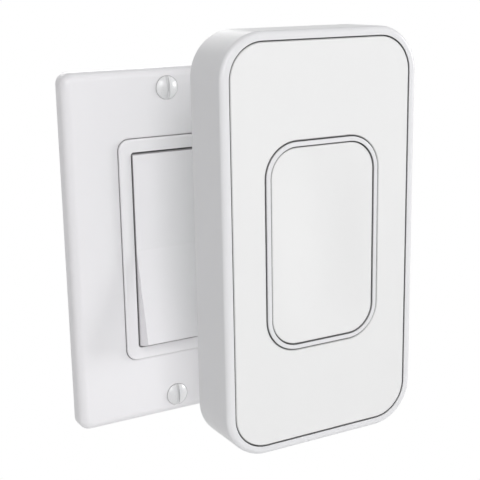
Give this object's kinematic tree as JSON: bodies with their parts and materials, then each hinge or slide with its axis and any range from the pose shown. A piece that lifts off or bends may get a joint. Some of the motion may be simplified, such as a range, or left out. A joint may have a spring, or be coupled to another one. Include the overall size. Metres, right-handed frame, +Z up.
{
  "type": "rocker light switch with powered cover",
  "caption": "Flush rocker light switch in a wall plate, with a battery-powered cover that clips over it and presses the rocker.",
  "frame": {"origin": "centre of the switch in the plane of the wall, midway between the two box screws", "axes": "+X to the right, +Y into the wall along the box screws, +Z up; the room is at -Y"},
  "size_m": [0.0825, 0.0848, 0.1207],
  "materials": {
    "plate_plastic": "smooth white moulded plastic, soft gloss",
    "bezel_plastic": "smooth white moulded plastic, soft gloss",
    "paddle_plastic": "smooth white moulded plastic, soft gloss",
    "screw_steel_white": "white enamel on steel, slotted oval head",
    "strap_steel": "zinc-plated steel",
    "body_plastic": "dark moulded plastic behind the wall",
    "brass": "stamped brass",
    "silver_contact": "bright plated metal",
    "green_screw": "green ground screw",
    "spring_steel": "bright steel",
    "inner_nylon": "natural nylon",
    "cover_plastic": "smooth white moulded plastic, soft gloss",
    "panel_plastic": "smooth white moulded plastic, fine satin",
    "button_plastic": "smooth white moulded plastic, satin, slightly dished",
    "back_plastic": "fine-textured white plastic",
    "board_green": "green solder mask",
    "black_plastic": "black plastic",
    "cell_wrap": "plain blue sleeve with bright ends",
    "pad_foam": "thin grey foam"
  },
  "bodies": {
    "wall_switch": {"wall_plate": "plate_plastic", "plate_screw_upper": "screw_steel_white", "plate_screw_lower": "screw_steel_white", "mounting_strap": "strap_steel", "box_screw_upper": "strap_steel", "box_screw_lower": "strap_steel", "switch_frame": "bezel_plastic", "switch_body": "body_plastic", "strap_rivet_ul": "strap_steel", "strap_rivet_ur": "strap_steel", "strap_rivet_ll": "strap_steel", "strap_rivet_lr": "strap_steel", "line_terminal": "brass", "load_terminal": "brass", "fixed_contact": "silver_contact", "line_screw": "brass", "load_screw": "brass", "ground_screw": "green_screw"},
    "paddle": {"rocker_paddle": "paddle_plastic", "toggle_spring": "spring_steel", "spring_plunger": "inner_nylon"},
    "see_saw": {"contact_arm": "brass", "moving_contact": "silver_contact"},
    "cover": {"cover_shell": "cover_plastic", "front_panel": "panel_plastic", "button_ring": "cover_plastic", "back_plate": "back_plastic", "magnet_upper": "silver_contact", "magnet_lower": "silver_contact", "case_screw_ul": "spring_steel", "case_screw_ur": "spring_steel", "case_screw_ll": "spring_steel", "case_screw_lr": "spring_steel", "grip_pad_upper": "pad_foam", "grip_pad_lower": "pad_foam", "cell_upper": "cell_wrap", "cell_lower": "cell_wrap", "contact_leaf_upper": "spring_steel", "contact_leaf_lower": "spring_steel", "circuit_board": "board_green", "tact_switch": "black_plastic", "radio_module": "silver_contact", "drive_motor": "spring_steel", "motor_bracket": "inner_nylon", "rod_holder_lower": "inner_nylon", "rod_holder_upper": "inner_nylon", "guide_rod": "spring_steel"},
    "button": {"push_button": "button_plastic"},
    "door": {"battery_door": "back_plastic"},
    "slider": {"carriage": "inner_nylon", "carriage_nut": "brass", "roller_pin": "spring_steel"},
    "roller": {"nose_roller": "inner_nylon"},
    "screw_shaft": {"lead_screw": "spring_steel", "screw_gear": "inner_nylon"},
    "pinion": {"motor_pinion": "inner_nylon"}
  },
  "joints": [
    {"name": "cover_pull", "type": "slide", "parent": "wall_switch", "child": "cover", "axis": [0.4531, -0.8643, 0.2184], "range_m": [-0.04304, 0]},
    {"name": "rocker_tilt", "type": "hinge", "parent": "wall_switch", "child": "paddle", "pos_m": [0, -0.001, 0], "axis": [-1, 0, 0], "range_deg": [-11.5, 0]},
    {"name": "contact_tilt", "type": "hinge", "parent": "wall_switch", "child": "see_saw", "pos_m": [0, 0.0114, 0], "axis": [-1, 0, 0], "range_deg": [0, 12]},
    {"name": "button_press", "type": "slide", "parent": "cover", "child": "button", "axis": [0, 1, 0], "range_m": [0, 0.001], "stiffness_N_per_m": 250},
    {"name": "battery_door", "type": "slide", "parent": "cover", "child": "door", "axis": [0, 1, 0], "range_m": [0, 0.012]},
    {"name": "carriage_travel", "type": "slide", "parent": "cover", "child": "slider", "axis": [0, 0, 1], "range_m": [-0.04, 0]},
    {"name": "roller_spin", "type": "hinge", "parent": "slider", "child": "roller", "pos_m": [0.0195, -0.0473, 0.0294], "axis": [1, 0, 0], "continuous": true},
    {"name": "lead_screw_spin", "type": "hinge", "parent": "cover", "child": "screw_shaft", "pos_m": [0.0426, -0.0492, 0.0094], "axis": [0, 0, 1], "range_deg": [0, 7201]},
    {"name": "pinion_spin", "type": "hinge", "parent": "cover", "child": "pinion", "pos_m": [0.0404, -0.05483, 0.0414], "axis": [0, 0, 1], "range_deg": [-14402, 0]}
  ],
  "couplings": [
    {"joint": "contact_tilt", "follows": "rocker_tilt", "ratio": -1},
    {"joint": "lead_screw_spin", "follows": "carriage_travel", "rad_per_m": -3141.6},
    {"joint": "pinion_spin", "follows": "carriage_travel", "rad_per_m": 6283.2}
  ]
}
